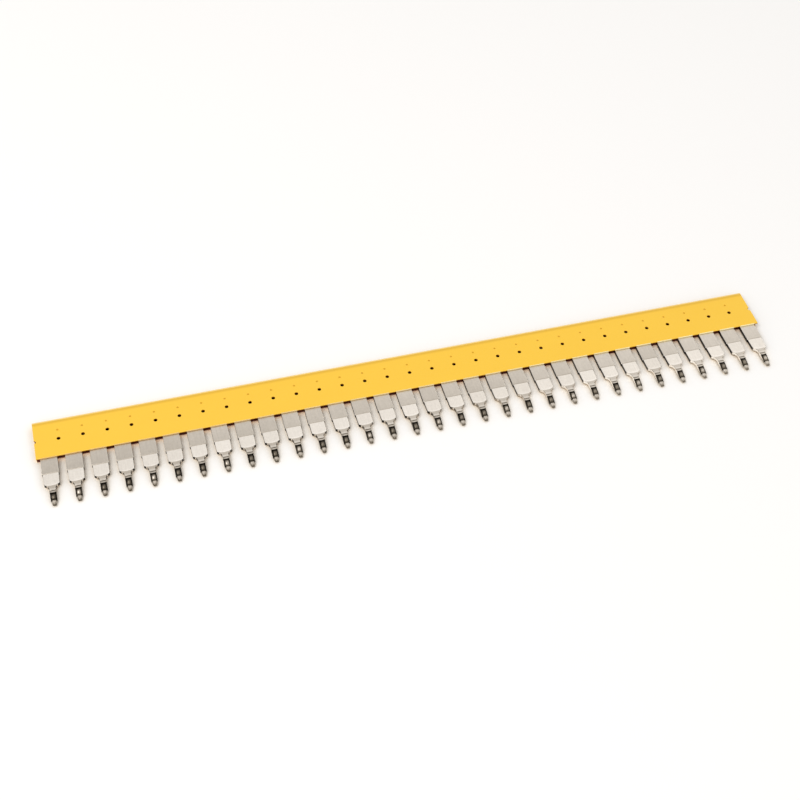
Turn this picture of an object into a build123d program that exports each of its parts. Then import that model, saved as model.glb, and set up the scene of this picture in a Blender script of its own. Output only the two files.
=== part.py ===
from build123d import *
import os

# Terminal block jumper bar: a stamped metal comb in a yellow insulating cover.
# X runs along the bar, +Y points to the closed edge of the cover and -Y to the
# tips of the contacts, and Z = 0 is the surface on which the bar lies flat.
# The origin is the middle of the footprint.

# Contacts along the bar, millimetres
pitch = 6.1
poles = 32

# Metal sheet and the cover that slides over it
sheet_thickness = 1.1
fit_clearance = 0.05
cover_wall = 0.4
closed_wall = 1.0
cover_depth = 12.4
closed_edge_radius = 0.9
mouth_chamfer = 0.1
lower_wall_inset = 0.6

# Row of cut-to-length holes in the upper wall, from the closed edge of the cover
hole_row = 6.9
hole_width = 0.8
hole_sides = 12

# Row of shallow pits beside the holes, from the same edge
pit_row = 4.05
pit_width = 0.45
pit_depth = 0.15
pit_sides = 6

# Comb inside the cover: its gaps end under the holes
comb_end_inset = 0.3
gap_root_overlap = 0.9
gap_corner = 0.5

# Lengths of one contact, from the mouth of the cover to its tip
plate_length = 4.8
coined_length = 3.25
shoulder_length = 1.5
neck_length = 1.05
pocket_length = 2.15
tip_length = 1.4

# Widths of one contact
plate_width = 4.2
coined_width = 3.9
shoulder_width = 3.8
pin_width = 1.6
tip_width = 1.0

# Heights of one contact above the flat underside of the sheet
coined_height = 0.98
valley_height = 0.84
collar_height = 0.95
pocket_height_upper = 0.82
pocket_height_lower = 0.5
crease_bevel = 0.16

# Curved bevel below the coined zone
bevel_arc_radius = 5.3
bevel_arc_drop = 0.4
bevel_length = 0.95
collar_rise_length = 0.4
groove_place = 0.52
groove_width = 0.08
groove_depth = 0.06

# Arched contact face in the pocket of the pin
arch_width = 0.96
arch_start_height = 0.9
arch_middle_height = 0.96
arch_end_height = 0.72
arch_gap_upper = 0.3
arch_gap_lower = 0.18
arch_edge = 0.12

# Nose of the pin: a ridge that gets narrower and lower, with sloping sides
ridge_width_root = 0.9
ridge_height_root = 0.64
ridge_width_end = 0.5
ridge_height_end = 0.45
nose_side_height = 0.14
nose_length = 0.35
nose_round = 0.12
nose_end_width = 0.6

# Places worked out from the sizes
bar_length = pitch * poles
slot_height = sheet_thickness + 2 * fit_clearance
cover_thickness = slot_height + 2 * cover_wall
contact_reach = plate_length + coined_length + shoulder_length + neck_length + pocket_length + tip_length
bar_depth = cover_depth + contact_reach
z_sheet = cover_wall + fit_clearance

y_closed = bar_depth / 2
y_mouth = y_closed - cover_depth
y_hole_row = y_closed - hole_row
y_pit_row = y_closed - pit_row
y_slot_end = y_closed - closed_wall
y_comb_back = y_slot_end - fit_clearance
y_gap_root = y_hole_row + gap_root_overlap
y_crease = y_mouth - plate_length
y_shoulder = y_crease - coined_length
y_neck = y_shoulder - shoulder_length
y_pocket = y_neck - neck_length
y_tip_root = y_pocket - pocket_length
y_tip = y_tip_root - tip_length

contact_places = [(pole - (poles - 1) / 2) * pitch for pole in range(poles)]
gap_places = [(gap - poles / 2) * pitch for gap in range(poles + 1)]


def make_cover():
    # C-shaped section: a wall above and below the slot, closed along one long edge
    section = Pos((y_closed + y_mouth) / 2, cover_thickness / 2) * Rectangle(cover_depth, cover_thickness)
    closed_corners = section.vertices().group_by(Axis.X)[-1]
    section = fillet(closed_corners, min(closed_edge_radius, 0.45 * cover_thickness))
    upper_mouth_corner = section.vertices().group_by(Axis.X)[0].sort_by(Axis.Y)[-1]
    section = chamfer(upper_mouth_corner, mouth_chamfer)
    slot_depth = y_slot_end - y_mouth
    slot_middle = (y_slot_end + y_mouth) / 2
    section -= Pos(slot_middle, cover_thickness / 2) * Rectangle(slot_depth, slot_height)

    # The lower wall stops short of the mouth
    section -= Pos(y_mouth, cover_wall / 2) * Rectangle(2 * lower_wall_inset, cover_wall)
    cover = extrude(Plane.YZ * section, bar_length / 2, both=True)

    # One hole over each gap of the comb; the bar is cut through the end ones
    hole = extrude(RegularPolygon(hole_width / 2, hole_sides), cover_wall, both=True)
    z_upper_wall = cover_thickness - cover_wall / 2
    cover -= [Pos(x, y_hole_row, z_upper_wall) * hole for x in gap_places]

    # Shallow pits in line with the holes
    pit = extrude(RegularPolygon(pit_width / 2, pit_sides), pit_depth, both=True)
    cover -= [Pos(x, y_pit_row, cover_thickness) * pit for x in gap_places[1:-1]]
    return cover


def sheet_section(upper_points):
    # Section of a piece from (y, z) points along its upper side, flat below
    first, last = upper_points[0], upper_points[-1]
    outline = Polyline(*upper_points, (last[0], 0), (first[0], 0), first)
    return Plane.YZ * make_face(outline)


def make_blank():
    # Outline in plan: coined zone, concave shoulder and straight pin
    neck_corner = (pin_width / 2, y_neck)
    shoulder_corner = (shoulder_width / 2, y_shoulder)
    right_side = Polyline((0, y_crease), (coined_width / 2, y_crease), shoulder_corner)
    right_side += TangentArc(neck_corner, shoulder_corner, tangent=(0, 1))
    right_side += Polyline(neck_corner, (pin_width / 2, y_tip_root), (0, y_tip_root))
    outline = make_face(right_side + mirror(right_side, Plane.YZ))
    return extrude(outline, sheet_thickness)


def make_pin_form():
    # Height from the crease to the nose: valley at the neck, collar, sloping pocket floor
    upper_points = [
        (y_crease, valley_height),
        (y_neck, valley_height),
        (y_neck - collar_rise_length, collar_height),
        (y_pocket, collar_height),
        (y_pocket, pocket_height_upper),
        (y_tip_root, pocket_height_lower),
    ]
    return extrude(sheet_section(upper_points), plate_width, both=True)


def make_coined_form():
    # A flat disc with a conical rim, whose rim gives the curved bevel above the neck
    rim = bevel_arc_radius + bevel_length
    half_section = Polyline(
        (0, 0),
        (0, coined_height),
        (bevel_arc_radius, coined_height),
        (rim, valley_height),
        (rim, 0),
        (0, 0),
    )
    disc = revolve(Plane.XZ * make_face(half_section), Axis.Z)
    return Pos(0, y_shoulder - bevel_arc_drop + bevel_arc_radius) * disc


def make_arch():
    # Arched contact face that stands in the pocket
    start = y_pocket - arch_gap_upper
    end = y_tip_root + arch_gap_lower
    start_point = (start, arch_start_height)
    end_point = (end, arch_end_height)
    arc = ThreePointArc(start_point, ((start + end) / 2, arch_middle_height), end_point)
    feet = Polyline(start_point, (start, 0), (end, 0), end_point)
    arch = extrude(Plane.YZ * make_face(arc + feet), arch_width / 2, both=True)

    # Its two long edges are sloped off
    z_foot = arch_end_height - 2 * arch_edge
    lean = arch_edge / (arch_middle_height - z_foot)
    x_foot = arch_width / 2
    x_top = x_foot - lean * (sheet_thickness - z_foot)
    for side in (-1, 1):
        edge_section = Polyline(
            (side * x_foot, z_foot),
            (side * x_top, sheet_thickness),
            (side * 2 * x_foot, sheet_thickness),
            (side * 2 * x_foot, z_foot),
            (side * x_foot, z_foot),
        )
        arch -= extrude(Plane.XZ * make_face(edge_section), 2 * bar_depth, both=True)
    return arch


def nose_section(y, base_width, side_height, ridge_width, ridge_height):
    # Upright section across the nose: flat below, low sides, sloping to a narrower ridge
    half_base = base_width / 2
    half_ridge = ridge_width / 2
    corners = [
        Vector(-half_base, y, 0),
        Vector(half_base, y, 0),
        Vector(half_base, y, side_height),
        Vector(half_ridge, y, ridge_height),
        Vector(-half_ridge, y, ridge_height),
        Vector(-half_base, y, side_height),
    ]
    return Face(Wire.make_polygon(corners))


def make_nose():
    root = nose_section(y_tip_root, pin_width, nose_side_height, ridge_width_root, ridge_height_root)
    end = nose_section(y_tip + nose_length, tip_width, nose_side_height, ridge_width_end, ridge_height_end)
    nose = loft([root, end], ruled=True)

    # Rounded front in two steps
    middle_width = (tip_width + nose_end_width) / 2 + nose_round / 2
    middle_height = ridge_height_end - nose_round
    middle = nose_section(y_tip + nose_round, middle_width, nose_side_height, ridge_width_end, middle_height)
    front = nose_section(y_tip, nose_end_width, nose_side_height / 2, ridge_width_end, nose_side_height)
    return nose + loft([end, middle], ruled=True) + loft([middle, front], ruled=True)


def make_contact():
    # One contact below the crease, drawn on the flat underside of the sheet
    blank = make_blank()
    contact = (blank & make_pin_form()) + (blank & make_coined_form())

    # Fine groove across the collar
    groove = Box(2 * pin_width, groove_width, 2 * groove_depth)
    contact -= Pos(0, y_neck - groove_place, collar_height) * groove
    return contact + make_arch() + make_nose()


def make_comb():
    # Spine and plates from one sheet, with a bevel where each plate meets its coined zone
    upper_points = [
        (y_comb_back, sheet_thickness),
        (y_crease + crease_bevel, sheet_thickness),
        (y_crease, coined_height),
    ]
    comb = extrude(sheet_section(upper_points), bar_length / 2 - comb_end_inset, both=True)

    # Gaps between the plates, open towards the tips
    half_gap = (pitch - plate_width) / 2
    gap_outline = Polyline(
        (-half_gap, y_crease - half_gap),
        (-half_gap, y_gap_root - gap_corner),
        (-half_gap + gap_corner, y_gap_root),
        (half_gap - gap_corner, y_gap_root),
        (half_gap, y_gap_root - gap_corner),
        (half_gap, y_crease - half_gap),
        (-half_gap, y_crease - half_gap),
    )
    gap = extrude(make_face(gap_outline), 2 * sheet_thickness, both=True)
    comb -= [Pos(x) * gap for x in gap_places]

    contact = make_contact()
    comb += [Pos(x) * contact for x in contact_places]
    return Pos(0, 0, z_sheet) * comb


os.makedirs("parts", exist_ok=True)
export_step(make_cover(), "parts/insulating_cover.step")
export_step(make_comb(), "parts/contact_comb.step")
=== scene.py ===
import math

import bpy
import numpy as np
from mathutils import Matrix, Vector


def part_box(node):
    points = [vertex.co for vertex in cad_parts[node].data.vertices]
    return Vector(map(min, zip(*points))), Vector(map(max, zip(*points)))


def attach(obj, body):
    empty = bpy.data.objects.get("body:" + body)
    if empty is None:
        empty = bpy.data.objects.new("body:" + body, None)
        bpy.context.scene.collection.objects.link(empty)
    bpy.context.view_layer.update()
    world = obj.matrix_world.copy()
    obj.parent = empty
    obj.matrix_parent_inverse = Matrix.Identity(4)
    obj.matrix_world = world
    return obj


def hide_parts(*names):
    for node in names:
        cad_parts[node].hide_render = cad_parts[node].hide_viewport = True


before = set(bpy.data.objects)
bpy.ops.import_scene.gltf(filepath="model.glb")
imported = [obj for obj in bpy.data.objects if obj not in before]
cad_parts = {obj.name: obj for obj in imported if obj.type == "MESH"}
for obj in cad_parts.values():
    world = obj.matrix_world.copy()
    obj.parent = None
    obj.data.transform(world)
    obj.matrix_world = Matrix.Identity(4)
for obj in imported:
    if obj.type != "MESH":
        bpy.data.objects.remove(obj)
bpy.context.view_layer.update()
coverLow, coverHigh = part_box("insulating_cover")
combLow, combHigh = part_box("contact_comb")

# sizes and places below are in millimetres, and mm turns them into metres
mm = 0.001
sheetZ = combLow.z / mm      # flat underside of the comb
mouthY = coverLow.y / mm     # edge of the cover that the contacts come out of
closedY = coverHigh.y / mm   # closed long edge of the cover
topZ = coverHigh.z / mm
halfBar = (coverHigh.x - coverLow.x) / mm / 2
print("frame loaded, cover", [round(v / mm, 2) for v in (*coverLow, *coverHigh)])

bar = dict(pitch=6.1, poles=32, holeRow=6.9)   # the row of holes is measured from the closed edge
contactX = (np.arange(bar["poles"]) - (bar["poles"] - 1) / 2) * bar["pitch"]
gapX = (np.arange(bar["poles"] + 1) - bar["poles"] / 2) * bar["pitch"]
holeRowY = closedY - bar["holeRow"]


# Mesh helpers

def meshObject(name, verts, faces, material):
    # one row per point in millimetres, put into a mesh at the origin in metres
    mesh = bpy.data.meshes.new(name)
    mesh.from_pydata((np.asarray(verts) * mm).tolist(), [], faces)
    mesh.validate()
    mesh.update()
    obj = bpy.data.objects.new(name, mesh)
    bpy.context.scene.collection.objects.link(obj)
    mesh.materials.append(material)
    return obj


def gridFaces(rows, cols, start=0):
    # quads of a rows by cols grid of points: each joins a point, the next one along its row, which wraps
    # round, and the same two in the row after
    row, col = np.meshgrid(np.arange(rows - 1), np.arange(cols), indexing="ij")
    following = (col + 1) % cols
    near = row * cols
    far = near + cols
    quads = np.stack([near + col, near + following, far + following, far + col], axis=-1)
    return quads.reshape(-1, 4) + start


def addAttribute(mesh, name, values):
    layer = mesh.attributes.new(name, "FLOAT", "POINT")
    layer.data.foreach_set("value", np.asarray(values, dtype=np.float32))


def sharpen(mesh, degrees):
    # smooth shading, broken where two faces meet at more than this angle
    mesh.polygons.foreach_set("use_smooth", np.ones(len(mesh.polygons), dtype=bool))
    mesh.set_sharp_from_angle(angle=math.radians(degrees))


# Node helpers

def newMaterial(name):
    material = bpy.data.materials.new(name)
    material.use_nodes = True
    tree = material.node_tree
    shader = tree.nodes["Principled BSDF"]
    return material, tree, shader


def setInput(tree, socket, value):
    # a socket is linked, anything else is written into the input
    if isinstance(value, bpy.types.NodeSocket):
        tree.links.new(value, socket)
    else:
        socket.default_value = value


def addNode(tree, kind, inputs=None, **fields):
    node = tree.nodes.new(kind)
    for key, value in fields.items():
        setattr(node, key, value)
    for key, value in (inputs or {}).items():
        setInput(tree, node.inputs[key], value)
    return node


def calculate(tree, operation, first, second):
    return addNode(tree, "ShaderNodeMath", {0: first, 1: second}, operation=operation).outputs[0]


def multiply(tree, first, second):
    return calculate(tree, "MULTIPLY", first, second)


def mixColour(tree, factor, first, second, blend="MIX"):
    inputs = {0: factor, 6: first, 7: second}
    return addNode(tree, "ShaderNodeMix", inputs, data_type="RGBA", blend_type=blend).outputs[2]


def objectNoise(tree, stretch, scale, detail=3.0, roughness=0.5):
    # noise on Object coordinates, stretched along one axis by the mapping
    place = addNode(tree, "ShaderNodeTexCoord").outputs["Object"]
    mapped = addNode(tree, "ShaderNodeMapping", {"Vector": place, "Scale": stretch}).outputs["Vector"]
    settings = {"Vector": mapped, "Scale": scale, "Detail": detail, "Roughness": roughness}
    return addNode(tree, "ShaderNodeTexNoise", settings).outputs["Fac"]


def ramp(tree, value, start, end, low=0.0, high=1.0):
    # straight line from low at start to high at end, level outside them
    return addNode(tree, "ShaderNodeMapRange", {0: value, 1: start, 2: end, 3: low, 4: high}).outputs[0]


def bumped(tree, height, strength, distance, normal=None):
    # surface normal tilted as on a relief of this height, with the distance in metres
    inputs = {"Strength": strength, "Distance": distance, "Height": height}
    if normal is not None:
        inputs["Normal"] = normal
    return addNode(tree, "ShaderNodeBump", inputs).outputs[0]


def within(tree, value, low, high, soft=0.02):
    # 1 where a coordinate lies between two values, 0 outside: a ramp up times a ramp down, each 2 soft long
    up = ramp(tree, value, (low - soft) * mm, (low + soft) * mm)
    down = ramp(tree, value, (high - soft) * mm, (high + soft) * mm, 1.0, 0.0)
    return multiply(tree, up, down)


def band(tree, axes, yRange, zRange, ySoft=0.02, zSoft=0.02):
    # 1 in a band along the bar that lies between two values of y and two of z, 0 outside
    return multiply(tree, within(tree, axes[1], *yRange, ySoft), within(tree, axes[2], *zRange, zSoft))


# Insulating cover

cover = dict(
    # sizes of the moulding, its holes and its pits
    wall=0.4, closedWall=1.0, edgeRadius=0.9, edgeSteps=9, mouthChamfer=0.16, lowerInset=0.6,
    innerRound=0.03, lowerRound=0.05, holeRadius=0.48, holeLip=0.03, pitRow=4.05, pitRadius=0.32,
    pitDepth=0.12, turnSides=28, cutterReach=0.3, smoothAngle=30,
    # colours: colour and deepColour are the plastic's own, the rest are painted shade and painted light on
    # the closed edge, its rim, the pits, the hole walls, the lip and the slot
    colour=(0.94, 0.571, 0.042, 1), deepColour=(0.87, 0.495, 0.031, 1), closedEdgeShade=(0.76, 0.43, 0.026, 1),
    rimHighlight=(0.98, 0.72, 0.24, 1), pitShadeColour=(0.66, 0.34, 0.0, 1), holeWallShade=(0.26, 0.07, 0.003, 1),
    litLipLeft=(0.7, 0.43, 0.14, 1), litLipRight=(1.0, 0.88, 0.50, 1), lipGapShade=(0.26, 0.07, 0.002, 1),
    slotShade=(0.13, 0.014, 0.0005, 1),
    # start and full strength of the painted shade along the closed edge and the painted highlight on its
    # rim, in from the closed edge
    edgeShadeRamp=(1.95, 1.2), rimHighlightRamp=(1.05, 0.6), rimDepth=0.45, rimSoft=0.15,
    # bands of painted shade along the rows of holes and pits and of painted light and shade along the mouth,
    # and depths below the upper face
    holeShade=0.8, pitShade=0.4, pitFloor=0.3, skin=0.03, lipSkin=0.02, lipReach=0.3, lipGapDepth=0.14,
    # where the painted light on the lip begins, from the middle of a gap, and borders of what lies in the
    # dark, which is painted shade
    plateRamp=(0.85, 1.05), slotMargin=0.05, slotStart=0.06, slotRoof=0.04, lowerLip=0.08, outside=0.1,
    # finish: patches of colour and gloss, slow waves and a fine grain, with heights in metres
    blotch=0.35, blotchScale=180, blotchStretch=(0.4, 1, 1), roughness=(0.36, 0.50), patchScale=700,
    waveScale=160, waveHeight=0.00003, waveStrength=0.5,
    grainScale=5200, grainHeight=0.000012, grainStrength=0.6,
)
pitRowY = closedY - cover["pitRow"]


def paintCoverLightAndShade(tree, axes, colour):
    # painted light and shade laid over the plastic's colour: each mask is a band of places, and darkens or
    # lightens what lies in it
    look = cover
    underside = topZ - look["wall"]
    # painted shade along the closed edge and a painted highlight on its rounded rim
    edge = ramp(tree, axes[1], *((closedY - inset) * mm for inset in look["edgeShadeRamp"]))
    colour = mixColour(tree, edge, colour, look["closedEdgeShade"])
    rim = ramp(tree, axes[1], *((closedY - inset) * mm for inset in look["rimHighlightRamp"]))
    upper = within(tree, axes[2], topZ - look["rimDepth"], topZ + look["rimDepth"], look["rimSoft"])
    colour = mixColour(tree, multiply(tree, rim, upper), colour, look["rimHighlight"])
    # painted shade in the pits and on the hole walls
    pits = band(tree, axes, (pitRowY - look["pitShade"], pitRowY + look["pitShade"]),
                (topZ - look["pitFloor"], topZ - look["skin"]), zSoft=0.01)
    colour = mixColour(tree, pits, colour, look["pitShadeColour"])
    holes = band(tree, axes, (holeRowY - look["holeShade"], holeRowY + look["holeShade"]),
                 (underside - look["lipSkin"], topZ - look["skin"]))
    colour = mixColour(tree, holes, colour, look["holeWallShade"])
    # painted light and shade on the cut edge at the mouth: pale over the plates, which light it, paler
    # towards the right end, and dark over the gaps
    along = ramp(tree, axes[0], -halfBar * mm, halfBar * mm)
    litLipColour = mixColour(tree, along, look["litLipLeft"], look["litLipRight"])
    fromGap = calculate(tree, "PINGPONG", axes[0], bar["pitch"] / 2 * mm)
    plates = ramp(tree, fromGap, *(distance * mm for distance in look["plateRamp"]))
    lipEdge = band(tree, axes, (mouthY - look["outside"], mouthY + look["lipReach"]),
                   (underside, topZ - look["lipSkin"]), 0.01, 0.01)
    colour = mixColour(tree, multiply(tree, lipEdge, plates), colour, litLipColour)
    lowEdge = multiply(tree, lipEdge, within(tree, axes[2], 0, topZ - look["lipGapDepth"]))
    gaps = calculate(tree, "SUBTRACT", 1.0, plates)
    colour = mixColour(tree, multiply(tree, lowEdge, gaps), colour, look["lipGapShade"])
    # painted shade: the slot and the set-back edge of the lower wall lie in the dark of the cover
    slotEnd = closedY - look["closedWall"] + look["slotMargin"]
    slot = band(tree, axes, (mouthY + look["slotStart"], slotEnd),
                (look["wall"] - look["slotMargin"], underside + look["slotRoof"]))
    lowerLip = band(tree, axes, (mouthY, mouthY + look["lowerInset"] + look["lowerLip"]),
                    (-look["outside"], look["wall"] + look["outside"]))
    betweenEnds = within(tree, axes[0], look["slotMargin"] - halfBar, halfBar - look["slotMargin"])
    slotShadeMask = multiply(tree, calculate(tree, "MAXIMUM", slot, lowerLip), betweenEnds)
    return mixColour(tree, slotShadeMask, colour, look["slotShade"])


def makeCoverMaterial():
    # moulded yellow plastic: two close colours by noise with painted light and shade laid over them, and a
    # bump of slow waves under a fine grain
    look = cover
    material, tree, shader = newMaterial("yellowMoulding")
    blotches = objectNoise(tree, look["blotchStretch"], look["blotchScale"], 4)
    colour = mixColour(tree, multiply(tree, blotches, look["blotch"]), look["colour"], look["deepColour"])
    place = addNode(tree, "ShaderNodeTexCoord").outputs["Object"]
    axes = addNode(tree, "ShaderNodeSeparateXYZ", {0: place}).outputs
    tree.links.new(paintCoverLightAndShade(tree, axes, colour), shader.inputs["Base Color"])
    patches = objectNoise(tree, (1, 1, 1), look["patchScale"], 3)
    tree.links.new(ramp(tree, patches, 0.0, 1.0, *look["roughness"]), shader.inputs["Roughness"])
    wave = objectNoise(tree, (1, 1, 1), look["waveScale"], 2)
    grain = objectNoise(tree, (1, 1, 1), look["grainScale"], 2)
    coarse = bumped(tree, wave, look["waveStrength"], look["waveHeight"])
    fine = bumped(tree, grain, look["grainStrength"], look["grainHeight"], coarse)
    tree.links.new(fine, shader.inputs["Normal"])
    return material


def coverProfile():
    # C-shaped section in (y, z): a quarter circle below and above the closed edge, the chamfered mouth,
    # and back round the slot
    size = cover
    radius = size["edgeRadius"]
    wall = size["wall"]
    chamfer = size["mouthChamfer"]
    small = size["innerRound"]
    lowerRound = size["lowerRound"]
    turn = np.linspace(0, math.pi / 2, size["edgeSteps"])
    lower = np.stack([closedY - radius * (1 - np.sin(turn)), radius * (1 - np.cos(turn))], -1)
    upper = np.stack([lower[::-1, 0], topZ - lower[::-1, 1]], -1)
    slotY = closedY - size["closedWall"]
    lipY = mouthY + size["lowerInset"]
    lowerLip = [(lipY, lowerRound), (lipY + lowerRound, 0)]
    upperLip = [(mouthY + chamfer, topZ), (mouthY + 0.3 * chamfer, topZ - 0.3 * chamfer),
                (mouthY, topZ - chamfer), (mouthY, topZ - wall + small), (mouthY + small, topZ - wall)]
    slot = [(slotY, topZ - wall), (slotY, wall), (lipY + small, wall), (lipY, wall - small)]
    return np.concatenate([lowerLip, lower, upper, upperLip, slot])


def turnedCutter(profile, centres):
    # closed surface of revolution: each (radius, height) of the profile turned about an upright axis,
    # repeated at each centre
    sides = cover["turnSides"]
    angle = np.arange(sides) / sides * 2 * math.pi
    radius, height = np.array(profile).T
    verts = []
    faces = []
    start = 0
    for centreX, centreY in centres:
        x = centreX + radius[:, None] * np.cos(angle)
        y = centreY + radius[:, None] * np.sin(angle)
        points = np.stack([x, y, np.repeat(height[:, None], sides, 1)], -1)
        verts.append(points.reshape(-1, 3))
        faces.extend(gridFaces(len(radius), sides, start).tolist())
        faces.append(list(range(start + sides - 1, start - 1, -1)))
        last = start + (len(radius) - 1) * sides
        faces.append(list(range(last, last + sides)))
        start += len(radius) * sides
    return np.concatenate(verts), faces


def coverCutters(material):
    # a row of through holes with a rounded rim, and a row of shallow pits
    size = cover
    above = topZ + size["cutterReach"]
    radius = size["holeRadius"]
    lip = size["holeLip"]
    hole = [(radius, topZ - size["wall"] - size["cutterReach"]), (radius, topZ - lip),
            (radius + 0.3 * lip, topZ - 0.3 * lip), (radius + lip, topZ), (radius + lip, above)]
    pitRadius = size["pitRadius"]
    depth = size["pitDepth"]
    pit = [(0.3 * pitRadius, topZ - depth), (0.8 * pitRadius, topZ - 0.6 * depth), (pitRadius, topZ),
           (pitRadius, above)]
    holes = turnedCutter(hole, [(x, holeRowY) for x in gapX])
    pits = turnedCutter(pit, [(x, pitRowY) for x in gapX[1:-1]])
    return [meshObject("holeCutter", *holes, material), meshObject("pitCutter", *pits, material)]


def makeCover(material):
    # the section carried straight from one cut end to the other, less the holes and pits
    profile = coverProfile()
    count = len(profile)
    ends = np.array([-halfBar, halfBar])
    verts = np.stack([np.repeat(ends[:, None], count, 1), np.repeat(profile[None, :, 0], 2, 0),
                      np.repeat(profile[None, :, 1], 2, 0)], -1).reshape(-1, 3)
    faces = gridFaces(2, count)[:, ::-1].tolist()
    faces.append(list(range(count)))
    faces.append(list(range(2 * count - 1, count - 1, -1)))
    piece = meshObject("coverShell", verts, faces, material)
    cutters = coverCutters(material)
    for cutter in cutters:
        cut = piece.modifiers.new(cutter.name, "BOOLEAN")
        cut.operation = "DIFFERENCE"
        cut.solver = "EXACT"
        cut.object = cutter
    bpy.context.view_layer.update()
    graph = bpy.context.evaluated_depsgraph_get()
    finished = bpy.data.meshes.new_from_object(piece.evaluated_get(graph))
    piece.modifiers.clear()
    piece.data = finished
    for cutter in cutters:
        bpy.data.objects.remove(cutter)
    # level faces take no smoothing, because they run out to the small holes
    sharpen(finished, cover["smoothAngle"])
    normals = np.empty(len(finished.polygons) * 3)
    finished.polygons.foreach_get("normal", normals)
    nearlyLevel = 0.9999
    sloping = np.abs(normals.reshape(-1, 3)[:, 2]) < nearlyLevel
    finished.polygons.foreach_set("use_smooth", sloping)
    piece.name = "insulatingCover"
    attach(piece, "root")
    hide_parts("insulating_cover")
    print("insulating cover:", len(finished.polygons), "faces")


# Contact comb

comb = dict(
    # stations along one contact, from the mouth of the cover towards its tip
    root=-6.5, plateRows=(0, 0.45, 2.4), crease=4.8, corner=7.95, shoulder=8.05, neck=9.55, groove=10.12,
    pocket=10.72, lensStart=11.0, lensEnd=12.55, tipRoot=12.75, tip=14.15,
    # lengths along it, of which hair is the short step that keeps an edge crisp
    creaseBevel=0.16, arcDrop=0.4, bevel=0.95, rise=0.35, grooveHalf=0.16, grooveFlat=0.07, noseLength=0.35,
    cornerRun=0.2, gapRoot=0.9, hair=0.01,
    # half widths, radii in plan, and the rounding of the upper and lower edges
    plateHalf=2.1, coinedHalf=1.95, shoulderHalf=1.9, pinHalf=0.8, tipHalf=0.5, endHalf=0.3, lensHalf=0.5,
    ridgeHalves=(0.45, 0.25), ridgeFlat=0.7, sideSlope=(0.5, 0.85), arcRadius=5.3, cornerRadius=0.14,
    edge=0.08, burr=0.05,
    # heights above the flat underside
    sheet=1.1, coined=0.98, valley=0.84, collar=0.95, grooveDepth=0.07, floorUpper=0.82, floorLower=0.5,
    lensHeights=(0.86, 0.97, 0.76), lensCrown=0.03, lensPowers=(3.5, 8), sideDrop=0.16,
    ridgeHeights=(0.64, 0.45), noseSide=0.14, frontDrop=0.9,
    # how points are shared out: across the top, up the sides, along the bends
    acrossShares=(0, 0.2, 0.38, 0.52, 0.6, 0.66, 0.82), sideLevels=(0.62, 0.2), coinedRows=7, cornerRows=5,
    arcRows=11, lensRows=17, noseRows=(0, 0.05, 0.25, 0.5, 0.75, 1.0),
    frontRows=(0.35, 0.6, 0.8, 0.93, 1.0), edgeSteps=4, smoothAngle=32,
    # painted highlight on the raised contact face, and how many contacts there are to one bright painted
    # highlight
    glintPlace=11.95, glintHalfLength=0.62, glintHalfWidth=0.44, brightEvery=3,
    # finish of the metal, with the bump in metres
    paleTint=(1.0, 0.945, 0.88, 1), deepTint=(1.0, 0.78, 0.5, 1), roughPlate=0.36, roughPolished=0.12,
    grainScale=1500, grainAmount=0.05, grainHeight=0.000006, grainStrength=0.35,
    streakScale=4200, streakStretch=(1, 0.06, 1), streakAmount=0.05, noiseRange=(0.3, 0.7),
    mottleScale=3600, mottleStretch=(1, 0.35, 1), mottleAmount=0.5, mottleRange=(0.35, 0.65),
    sidePolish=0.3, lensPolish=0.35, brightPolish=0.4, variation=0.03, seed=7,
    # where the tones fade into one another
    fade=0.1, arcGlow=0.45, plateFade=0.4, tipFades=(0.1, 0.3), noseFades=(0.75, 0.15),
    # how far along the bar the painted reflections on the left and the right side faces turn from dark to
    # lit
    leftTurns=(0.0, 0.5), rightTurns=(-0.4, 1.0),
    # tone of each zone on the middle contact, and its relative rise towards the right end of the bar, which
    # paints a change of light along it; the mouth band, the arc line and the bright line are painted
    # highlights, and the plate's end, the crease line, the bevel, the groove line and the nose end are
    # painted shade
    zoneTones=dict(
        plateMouthLight=(0.68, 0.1), plate=(0.615, 0.05), plateEnd=(0.57, 0.06), creaseShade=(0.43, 0.09),
        coined=(0.81, -0.02), arcHighlight=(0.89, 0), bevel=(0.52, 0.15), valleyHighlight=(0.7, 0),
        grooveShade=(0.06, 0.9), collar=(0.57, 0.1), pocket=(0.011, 0.5), lens=(0.22, 0.3),
        brightLensGlint=(0.56, 0), tip=(0.54, 0.1), noseEndShade=(0.15, 0.3), edgeHighlight=(0.85, 0.1),
        shoulderEdgeShade=(0.07, 0.3), hiddenShade=(0.02, 0),
    ),
    # painted reflections and shade: tones of a side face at each distance past the shoulder's corner, in the
    # dark and lit from the left, each with the tones of a painted shadow at its foot
    sideTones=dict(
        stations=(-0.06, 0.0, 0.14, 0.24, 0.38, 0.46, 0.62, 0.7, 1.3, 1.6, 2.8, 4.4, 5.2, 6.3),
        dark=(0.01, 0.01, 0.01, 0.01, 0.02, 0.95, 0.95, 0.04, 0.03, 0.2, 0.3, 0.2, 0.3, 0.15),
        darkFootShadow=(0.01, 0.01, 0.01, 0.01, 0.02, 0.6, 0.5, 0.01, 0.01, 0.03, 0.05, 0.03, 0.1, 0.05),
        lit=(0.01, 0.03, 0.9, 1.0, 1.0, 1.0, 1.0, 1.0, 1.0, 1.0, 1.0, 0.6, 0.5, 0.2),
        litFootShadow=(0.01, 0.01, 0.02, 0.02, 0.02, 0.02, 0.02, 0.02, 0.02, 0.02, 0.02, 0.02, 0.02, 0.02),
    ),
)
hair = comb["hair"]
bevelTop = comb["crease"] - comb["creaseBevel"]
arcStart = comb["shoulder"] + comb["arcDrop"]
valleyStart = arcStart + comb["bevel"]
collarStart = valleyStart + comb["rise"]
noseStart = comb["tip"] - comb["noseLength"]
underCount = 9   # points of a cross-section on its sides and underside


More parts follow.
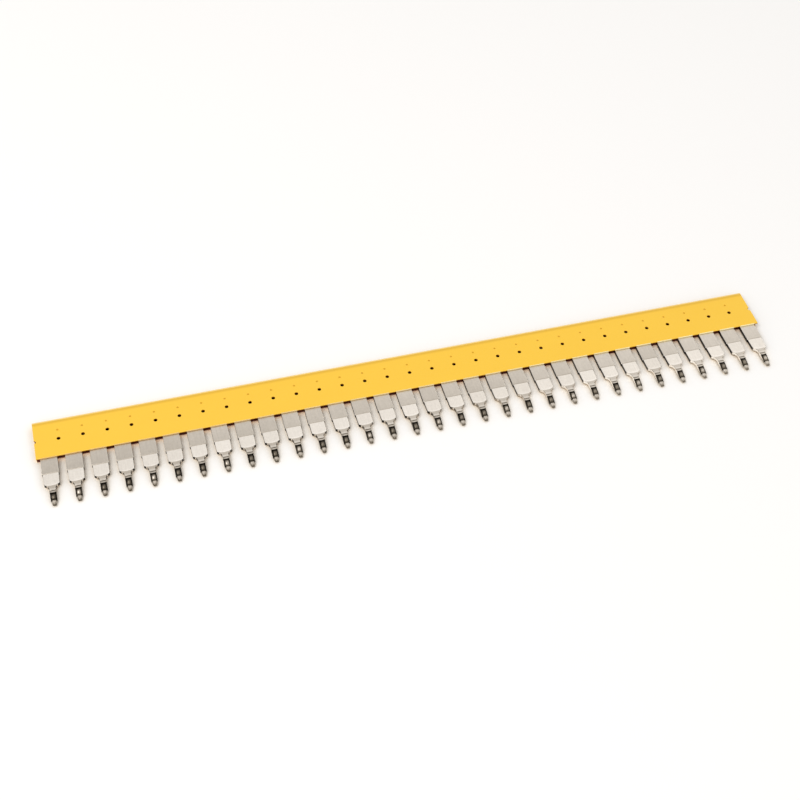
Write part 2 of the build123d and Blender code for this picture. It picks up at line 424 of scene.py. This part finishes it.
def makeMetalMaterial():
    # tinned copper: "tone" is how bright each zone of a contact is, painted light and shade included,
    # "polish" how smooth it is; the tone is times the shade of grain, streaks and, where polished, mottle,
    # and the darker it is the warmer
    look = comb
    material, tree, shader = newMaterial("tinnedCopper")
    shader.inputs["Metallic"].default_value = 1.0
    tone = addNode(tree, "ShaderNodeAttribute", attribute_name="tone").outputs["Fac"]
    polish = addNode(tree, "ShaderNodeAttribute", attribute_name="polish").outputs["Fac"]
    grain = objectNoise(tree, (1, 1, 1), look["grainScale"], 4, 0.6)
    streaks = objectNoise(tree, look["streakStretch"], look["streakScale"], 3, 0.6)
    mottle = objectNoise(tree, look["mottleStretch"], look["mottleScale"], 2)
    grainAmount = look["grainAmount"]
    streakAmount = look["streakAmount"]
    grainShade = ramp(tree, grain, *look["noiseRange"], 1 - grainAmount, 1 + grainAmount)
    streakShade = ramp(tree, streaks, *look["noiseRange"], 1 - streakAmount, 1 + streakAmount)
    mottleShade = ramp(tree, mottle, *look["mottleRange"], -look["mottleAmount"], look["mottleAmount"])
    mottleShade = calculate(tree, "ADD", multiply(tree, mottleShade, polish), 1.0)
    shade = multiply(tree, multiply(tree, tone, grainShade), multiply(tree, streakShade, mottleShade))
    grey = addNode(tree, "ShaderNodeCombineColor", {0: shade, 1: shade, 2: shade}).outputs[0]
    tint = mixColour(tree, calculate(tree, "SQRT", tone, 0.0), look["deepTint"], look["paleTint"])
    tree.links.new(mixColour(tree, 1.0, grey, tint, "MULTIPLY"), shader.inputs["Base Color"])
    rough = ramp(tree, polish, 0.0, 1.0, look["roughPlate"], look["roughPolished"])
    tree.links.new(rough, shader.inputs["Roughness"])
    fine = bumped(tree, grain, look["grainStrength"], look["grainHeight"])
    tree.links.new(fine, shader.inputs["Normal"])
    return material


def sectionRows(centre, half, edge):
    # one row per cross-section: station of its middle, half width, and station of its edge points
    return np.stack(np.broadcast_arrays(centre, half, edge), 1)


def contactRows():
    # all cross-sections of one contact from root to tip: the edge points keep to the middle's station on
    # the plate and the pin, and have their own round the shoulder
    size = comb
    crease = size["crease"]
    corner = size["corner"]
    pinHalf = size["pinHalf"]
    plate = np.array([size["root"], *size["plateRows"], bevelTop - 3 * hair, bevelTop, crease - 6 * hair,
                      crease - hair])
    coinedStart = crease + 4 * hair
    coinedEnds = np.array([crease, coinedStart])
    share = np.linspace(0, 1, size["coinedRows"])[1:]
    coined = sectionRows(coinedStart + (arcStart - coinedStart) * share,
                         size["coinedHalf"] + (size["shoulderHalf"] - size["coinedHalf"]) * share,
                         coinedStart + (corner - 8 * hair - crease) * share)
    # the shoulder is a rounded corner, then a hollow arc that runs out along the side of the pin
    run = size["shoulderHalf"] - pinHalf
    drop = size["neck"] - corner
    fullTurn = 2 * math.atan(run / drop)
    cornerRadius = size["cornerRadius"]
    hollowRadius = drop / math.sin(fullTurn) - cornerRadius
    cornerStart = arcStart + 2 * hair
    hollowStart = cornerStart + size["cornerRun"]
    share = np.linspace(0, 1, size["cornerRows"])
    angle = fullTurn * share
    rounded = sectionRows(cornerStart + size["cornerRun"] * share,
                          size["shoulderHalf"] - cornerRadius * (1 - np.cos(angle)),
                          corner + cornerRadius * np.sin(angle))
    share = np.linspace(0, 1, size["arcRows"])[1:]
    angle = fullTurn * (1 - share)
    hollow = sectionRows(hollowStart + (valleyStart - hair - hollowStart) * share,
                         pinHalf + hollowRadius * (1 - np.cos(angle)),
                         size["neck"] - hollowRadius * np.sin(angle))
    groove = size["groove"]
    pin = np.array([size["neck"] + 3 * hair, collarStart, collarStart + 5 * hair,
                    groove - size["grooveHalf"], groove - size["grooveFlat"], groove + size["grooveFlat"],
                    groove + size["grooveHalf"], size["pocket"] - 5 * hair, size["pocket"],
                    size["pocket"] + 2 * hair, size["lensStart"] - 5 * hair,
                    *np.linspace(size["lensStart"], size["lensEnd"], size["lensRows"]),
                    size["tipRoot"] - 4 * hair])
    # the nose gets narrower in a straight line, and its front along a quarter of an ellipse
    share = np.array(size["noseRows"])
    nose = size["tipRoot"] + (noseStart - size["tipRoot"]) * share
    noseHalf = pinHalf + (size["tipHalf"] - pinHalf) * share
    angle = np.array(size["frontRows"]) * math.pi / 2
    front = noseStart + size["noseLength"] * np.sin(angle)
    frontHalf = size["tipHalf"] - (size["tipHalf"] - size["endHalf"]) * (1 - np.cos(angle))
    return np.concatenate([
        sectionRows(plate, size["plateHalf"], plate),
        sectionRows(coinedEnds, size["coinedHalf"], coinedEnds),
        coined,
        rounded,
        hollow,
        sectionRows(pin, pinHalf, pin),
        sectionRows(nose, noseHalf, nose),
        sectionRows(front, frontHalf, front),
    ])


def smooth(low, high, value):
    # 0 below low, 1 above high, and between them three squares less two cubes of the share of the way
    share = np.clip((value - low) / (high - low), 0, 1)
    return share * share * (3 - 2 * share)


def radialStation(x, s):
    # past the crease, a point's distance from an upright axis in place of its station, so that bevel,
    # valley and collar run as arcs
    arcCentre = arcStart - comb["arcRadius"]
    return np.where(s > comb["crease"] + 3 * hair, arcCentre + np.hypot(x, s - arcCentre), s)


def lensShape(x, s):
    # place on the raised contact face: -1 to 1 along it, and 0 at its middle line to 1 at its long edges
    size = comb
    along = np.clip((s - size["lensStart"]) / (size["lensEnd"] - size["lensStart"]), 0, 1) * 2 - 1
    across = np.clip(np.abs(x) / size["lensHalf"], 0, 1)
    return along, across


def contactHeight(x, half, s):
    # height above the flat underside: straight steps along the contact, a sloping pocket floor with a
    # crowned lens on it, and a nose whose ridge falls off to low sides
    size = comb
    sheet = size["sheet"]
    coined = size["coined"]
    collar = size["collar"]
    groove = collar - size["grooveDepth"]
    steps = [(size["root"], sheet), (bevelTop, sheet), (size["crease"], coined), (arcStart, coined),
             (valleyStart, size["valley"]), (collarStart, collar),
             (size["groove"] - size["grooveHalf"], collar), (size["groove"] - size["grooveFlat"], groove),
             (size["groove"] + size["grooveFlat"], groove), (size["groove"] + size["grooveHalf"], collar),
             (size["pocket"], collar)]
    height = np.interp(radialStation(x, s), *zip(*steps))
    # pocket and lens: the bulge is 1 over most of the lens and runs out at its edges
    share = np.clip((s - size["pocket"]) / (size["tipRoot"] - size["pocket"]), 0, 1)
    floor = size["floorUpper"] + (size["floorLower"] - size["floorUpper"]) * share
    along, across = lensShape(x, s)
    crest = np.interp(along, (-1, 0, 1), size["lensHeights"]) + size["lensCrown"] * (1 - along ** 2)
    acrossPower, alongPower = size["lensPowers"]
    bulge = np.sqrt(np.clip(1 - across ** acrossPower, 0, 1))
    bulge = bulge * np.sqrt(np.clip(1 - along ** alongPower, 0, 1))
    sides = size["sideDrop"] * share * smooth(*size["sideSlope"], np.abs(x))
    pocket = floor + (crest - floor) * bulge - sides
    height = np.where((s > size["pocket"] + hair) & (s < size["tipRoot"] - 2 * hair), pocket, height)
    # nose
    taper = np.clip((s - size["tipRoot"]) / (noseStart - size["tipRoot"]), 0, 1)
    ridgeHalf = size["ridgeHalves"][0] + (size["ridgeHalves"][1] - size["ridgeHalves"][0]) * taper
    ridge = size["ridgeHeights"][0] + (size["ridgeHeights"][1] - size["ridgeHeights"][0]) * taper
    flat = ridgeHalf * size["ridgeFlat"]
    nose = ridge + (size["noseSide"] - ridge) * smooth(0, 1, (np.abs(x) - flat) / (half - flat))
    front = np.clip((s - noseStart) / size["noseLength"], 0, 1)
    nose = nose * np.sqrt(1 - size["frontDrop"] * front ** 2)
    return np.where(s >= size["tipRoot"] - 2 * hair, nose, height)


def contactSurface():
    # closed cross-sections swept from root to tip: top with rounded edges, then side, flat underside and
    # side again; across a section the station goes from middle to edge with the square of x
    size = comb
    centre, half, edgeStation = contactRows().T
    shares = np.array(size["acrossShares"])
    across = np.concatenate([-shares[:0:-1], shares])
    turn = np.linspace(0, math.pi / 2, size["edgeSteps"])
    flat = half[:, None] - size["edge"]
    rightX = flat + size["edge"] * np.sin(turn)
    x = np.concatenate([-rightX[:, ::-1], across * flat, rightX], axis=1)
    s = centre[:, None] + (edgeStation - centre)[:, None] * (x / half[:, None]) ** 2
    fall = 1 - np.cos(turn)
    drop = np.concatenate([fall[::-1], np.zeros(len(across)), fall]) * size["edge"]
    inner = np.clip(x, -flat, flat)
    z = np.maximum(contactHeight(inner, half[:, None], s) - drop, size["burr"] + hair)
    upper, lower = size["sideLevels"]
    burr = size["burr"]
    underX = np.stack([half, half, half, half - burr, half * 0, burr - half, -half, -half, -half], 1)
    levels = np.array([upper, lower, 0, 0, 0, 0, 0, lower, upper])
    foot = np.array([1, 1, 1, 0, 0, 0, 1, 1, 1]) * burr
    underZ = foot + levels * (z[:, :1] - burr)
    underS = centre[:, None] + (edgeStation - centre)[:, None] * (underX / half[:, None]) ** 2
    return np.stack([np.concatenate([x, underX], 1), np.concatenate([s, underS], 1),
                     np.concatenate([z, underZ], 1)], -1)


def topTones(x, s, tones):
    # tone of the upper face, with its painted highlights and shade: straight between the zones' stations,
    # with the pocket and the nose apart
    size = comb
    crease = size["crease"]
    groove = size["groove"]
    fade = size["fade"]
    zones = [(size["root"], "plateMouthLight"), (0, "plateMouthLight"), (size["plateFade"], "plate"),
             (bevelTop - hair, "plateEnd"), (bevelTop + hair, "creaseShade"), (crease - hair, "creaseShade"),
             (crease + 4 * hair, "coined"), (arcStart - size["arcGlow"], "coined"),
             (arcStart - 2 * hair, "arcHighlight"), (arcStart + 2 * hair, "arcHighlight"), (arcStart + fade, "bevel"),
             (valleyStart - fade, "bevel"), (valleyStart, "valleyHighlight"), (collarStart, "valleyHighlight"),
             (groove - size["grooveHalf"], "collar"), (groove - size["grooveFlat"], "grooveShade"),
             (groove + size["grooveFlat"], "grooveShade"), (groove + size["grooveHalf"], "collar"),
             (size["pocket"] - 5 * hair, "collar"), (size["pocket"], "pocket")]
    places, names = zip(*zones)
    tone = np.interp(radialStation(x, s), places, [tones[name] for name in names])
    noseTop = size["tipRoot"] - 2 * hair
    tone = np.where((s >= size["pocket"] - 0.1 * hair) & (s < noseTop), tones["pocket"], tone)
    places = [size["tipRoot"] + size["tipFades"][0], size["tipRoot"] + size["tipFades"][1],
              size["tip"] - size["noseFades"][0], size["tip"] - size["noseFades"][1], size["tip"]]
    noseTone = np.interp(s, places, [tones[name] for name in ("pocket", "tip", "tip", "noseEndShade", "noseEndShade")])
    return np.where(s >= noseTop, noseTone, tone)


def sideFaceTones(x, s, share, place):
    # tone of a side face from the height share of each point, as painted reflections and shade with a
    # painted shadow at the foot: the dark pattern goes over into the lit one along the bar, on the left
    # faces over a shorter way than on the right ones
    size = comb
    upper, lower = size["sideLevels"]
    given = size["sideTones"]
    past = s - size["corner"]
    pattern = {key: np.interp(past, given["stations"], given[key])
               for key in ("dark", "darkFootShadow", "lit", "litFootShadow")}
    high = np.interp(share, (lower, upper), (0, 1))
    raised = np.interp(share, (0, lower), (0, 1))
    dark = pattern["dark"] * high + pattern["darkFootShadow"] * (1 - high)
    lit = pattern["lit"] * raised + pattern["litFootShadow"] * (1 - raised)
    amount = np.where(x < 0, smooth(*size["leftTurns"], place), smooth(*size["rightTurns"], place))
    return dark * (1 - amount) + lit * amount


def contactTones(ring, place):
    # tone with its painted light and shade, painted highlight spot and polish of every point of the contact
    # at one place along the bar, which is -1 at its left end and 1 at its right
    size = comb
    tones = {key: middle * (1 + rise * place) for key, (middle, rise) in size["zoneTones"].items()}
    x, s = np.moveaxis(ring[..., :2], -1, 0)
    tone = topTones(x, s, tones)
    # painted highlight on the long edges of the plate, and painted shade on those of the shoulder
    topCount = ring.shape[1] - underCount
    rim = np.zeros(ring.shape[1], dtype=bool)
    rim[[1, 2, topCount - 3, topCount - 2]] = True
    shoulderStart = size["corner"] - size["fade"]
    tone = np.where(rim & (s < shoulderStart), tones["edgeHighlight"], tone)
    onShoulder = (s > shoulderStart) & (s < size["neck"] - size["fade"])
    tone = np.where(rim & onShoulder, tones["shoulderEdgeShade"], tone)
    # points on the side faces, and the share of the side's height at which each lies
    side = np.zeros(ring.shape[1], dtype=bool)
    side[[0, topCount - 1, topCount, topCount + 1, topCount + 2, -3, -2, -1]] = True
    share = np.ones(ring.shape[1])
    share[[topCount, -1]] = size["sideLevels"][0]
    share[[topCount + 1, -2]] = size["sideLevels"][1]
    share[[topCount + 2, -3]] = 0
    # painted reflections and shade on the side faces
    tone = np.where(side, sideFaceTones(x, s, share, place), tone)
    polish = np.where(side & (s > size["corner"]), size["sidePolish"], 0.0)
    # painted highlight spot on the raised contact face: falls off with the square of the way along and the
    # cube of the way across
    inPocket = (s > size["lensStart"] - 4 * hair) & (s < size["lensEnd"] + 4 * hair)
    alongSpot = (s - size["glintPlace"]) / size["glintHalfLength"]
    spot = np.exp(-alongSpot ** 2 - np.abs(x / size["glintHalfWidth"]) ** 3)
    return tone, np.where(inPocket & ~side, spot, 0), polish


def makeContactComb(material):
    # one swept surface per contact, each with its own tones, and a plain spine behind them
    size = comb
    ring = contactSurface()
    rowCount, ringCount = ring.shape[:2]
    onePole = rowCount * ringCount
    quads = gridFaces(rowCount, ringCount)[:, ::-1]
    rng = np.random.default_rng(size["seed"])
    verts = []
    faces = []
    tones = []
    polishes = []
    for pole, poleX in enumerate(contactX):
        place = poleX / halfBar
        tone, spot, polish = contactTones(ring, place)
        points = np.stack([poleX + ring[..., 0], mouthY - ring[..., 1], sheetZ + ring[..., 2]], -1)
        verts.append(points.reshape(-1, 3))
        start = pole * onePole
        faces.extend((quads + start).tolist())
        faces.append(list(range(start, start + ringCount)))
        faces.append(list(range(start + onePole - 1, start + onePole - 1 - ringCount, -1)))
        # the painted highlight on the contact face is brighter on every few contacts
        bright = pole % size["brightEvery"] == 1
        middle, rise = size["zoneTones"]["brightLensGlint" if bright else "lens"]
        spotTone = middle * (1 + rise * place)
        own = tone * (1 + size["variation"] * rng.standard_normal())
        tones.append((own * (1 - spot) + spotTone * spot).reshape(-1))
        polishes.append((polish + spot * size["brightPolish" if bright else "lensPolish"]).reshape(-1))
    # the spine is a plain bar along the closed side of the slot, near-black as painted shade inside the
    # cover
    halfSpine = (combHigh.x - combLow.x) / mm / 2
    spineY = (holeRowY + size["gapRoot"], combHigh.y / mm)
    spineZ = (sheetZ, sheetZ + size["sheet"])
    corners = [(x, y, z) for x in (-halfSpine, halfSpine) for y in spineY for z in spineZ]
    verts.append(np.array(corners))
    box = np.array([[0, 1, 3, 2], [4, 6, 7, 5], [0, 4, 5, 1], [2, 3, 7, 6], [0, 2, 6, 4], [1, 5, 7, 3]])
    faces.extend((box + len(contactX) * onePole).tolist())
    tones.append(np.full(len(corners), size["zoneTones"]["hiddenShade"][0]))
    polishes.append(np.zeros(len(corners)))
    piece = meshObject("contactComb", np.concatenate(verts), faces, material)
    addAttribute(piece.data, "tone", np.concatenate(tones))
    addAttribute(piece.data, "polish", np.concatenate(polishes))
    sharpen(piece.data, size["smoothAngle"])
    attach(piece, "root")
    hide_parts("contact_comb")
    print("contact comb:", len(piece.data.polygons), "faces")


# Floor, light and camera

studio = dict(
    # table, with painted warm shade in the nooks under the bar and a painted glow standing for light thrown
    # back at the mouth
    floorColour=(0.974, 0.957, 0.939, 1), floorHalf=2000, floorRoughness=0.9, floorGloss=0.1,
    nookShadeColour=(0.94, 0.775, 0.56, 1), nookReach=0.0025,   # reach in metres
    glowColour=(1, 0.58, 0.32, 1), glowAmount=0.32, glowRight=0.35, glowNook=(0.5, 0.2),
    glowBand=(-0.45, 1.0), glowSoft=0.45, endSoft=0.5,
    # room: lighter on the right for reflections, and darker behind as a light
    worldColour=(0.99, 0.985, 0.975, 1), worldFill=0.72, leftToRight=(0.752, 1.152), frontToBack=(1.3, 0.7),
    # lamp in metres and watts
    lampSize=0.7, lampPower=4.5, lampPlace=(-0.42, -0.2, 0.87),
    # camera in millimetres and degrees, with its near and far limits in metres
    cameraPlace=(-68.38, -218.42, 265.98), cameraAim=(-4.70, -1.43, 1.0), cameraRoll=1.774, lens=60.27,
    sensor=36, clip=(0.01, 20),
)


def makeFloor():
    half = studio["floorHalf"]
    material, tree, shader = newMaterial("paleTable")
    # painted warm shade: the table looks warmer close under the bar, where light reaches it by way of the
    # metal
    nook = addNode(tree, "ShaderNodeAmbientOcclusion", {"Distance": studio["nookReach"]}, samples=8)
    colour = mixColour(tree, nook.outputs["AO"], studio["nookShadeColour"], studio["floorColour"])
    tree.links.new(colour, shader.inputs["Base Color"])
    # painted glow: the table emits warm light at the mouth as if thrown back by the cover and the plates,
    # less so to the right
    glow = ramp(tree, nook.outputs["AO"], *studio["glowNook"], 0.0, studio["glowAmount"])
    place = addNode(tree, "ShaderNodeTexCoord").outputs["Object"]
    axes = addNode(tree, "ShaderNodeSeparateXYZ", {0: place}).outputs
    atMouth = within(tree, axes[1], *(mouthY + edge for edge in studio["glowBand"]), studio["glowSoft"])
    alongBar = within(tree, axes[0], -halfBar, halfBar, studio["endSoft"])
    fading = ramp(tree, axes[0], -halfBar * mm, halfBar * mm, 1.0, studio["glowRight"])
    glow = multiply(tree, glow, multiply(tree, multiply(tree, atMouth, alongBar), fading))
    shader.inputs["Emission Color"].default_value = studio["glowColour"]
    tree.links.new(glow, shader.inputs["Emission Strength"])
    shader.inputs["Roughness"].default_value = studio["floorRoughness"]
    shader.inputs["Specular IOR Level"].default_value = studio["floorGloss"]
    corners = [(-half, -half, 0), (half, -half, 0), (half, half, 0), (-half, half, 0)]
    meshObject("tableTop", corners, [(0, 1, 2, 3)], material)
    print("floor laid")


def makeLight():
    world = bpy.data.worlds.new("softRoom")
    bpy.context.scene.world = world
    world.use_nodes = True
    tree = world.node_tree
    background = tree.nodes["Background"]
    background.inputs["Color"].default_value = studio["worldColour"]
    # full strength where the room is seen straight, in a gloss or through something, and less as a light
    path = addNode(tree, "ShaderNodeLightPath").outputs
    shown = calculate(tree, "MAXIMUM", path["Is Camera Ray"], path["Is Glossy Ray"])
    shown = calculate(tree, "MAXIMUM", shown, path["Is Transmission Ray"])
    strength = ramp(tree, shown, 0.0, 1.0, studio["worldFill"], 1.0)
    direction = addNode(tree, "ShaderNodeTexCoord").outputs["Generated"]
    axes = addNode(tree, "ShaderNodeSeparateXYZ", {0: direction}).outputs
    side = ramp(tree, axes[0], -0.5, 0.5, *studio["leftToRight"])
    back = ramp(tree, axes[1], -1.0, 1.0, *studio["frontToBack"])
    level = addNode(tree, "ShaderNodeMix", {0: path["Is Glossy Ray"], 2: back, 3: side}).outputs[0]
    level = addNode(tree, "ShaderNodeMix", {0: path["Is Camera Ray"], 2: level, 3: 1.0}).outputs[0]
    tree.links.new(multiply(tree, strength, level), background.inputs["Strength"])
    lamp = bpy.data.lights.new("softBox", "AREA")
    lamp.shape = "SQUARE"
    lamp.size = studio["lampSize"]
    lamp.energy = studio["lampPower"]
    lampObject = bpy.data.objects.new("softBox", lamp)
    bpy.context.scene.collection.objects.link(lampObject)
    place = Vector(studio["lampPlace"])
    lampObject.location = place
    lampObject.rotation_mode = "QUATERNION"
    lampObject.rotation_quaternion = (-place).to_track_quat("-Z", "Y")
    print("room and lamp set")


def makeCamera():
    data = bpy.data.cameras.new("photoCamera")
    data.lens = studio["lens"]
    data.sensor_width = studio["sensor"]
    data.clip_start, data.clip_end = studio["clip"]
    camera = bpy.data.objects.new("photoCamera", data)
    bpy.context.scene.collection.objects.link(camera)
    place = Vector(studio["cameraPlace"]) * mm
    aim = Vector(studio["cameraAim"]) * mm
    look = (aim - place).to_track_quat("-Z", "Y").to_matrix().to_4x4()
    roll = Matrix.Rotation(math.radians(studio["cameraRoll"]), 4, "Z")
    camera.matrix_world = Matrix.Translation(place) @ look @ roll
    bpy.context.scene.camera = camera
    print("camera placed")


bpy.context.scene.view_settings.view_transform = "Standard"
makeFloor()
makeLight()
makeCamera()
makeCover(makeCoverMaterial())
makeContactComb(makeMetalMaterial())
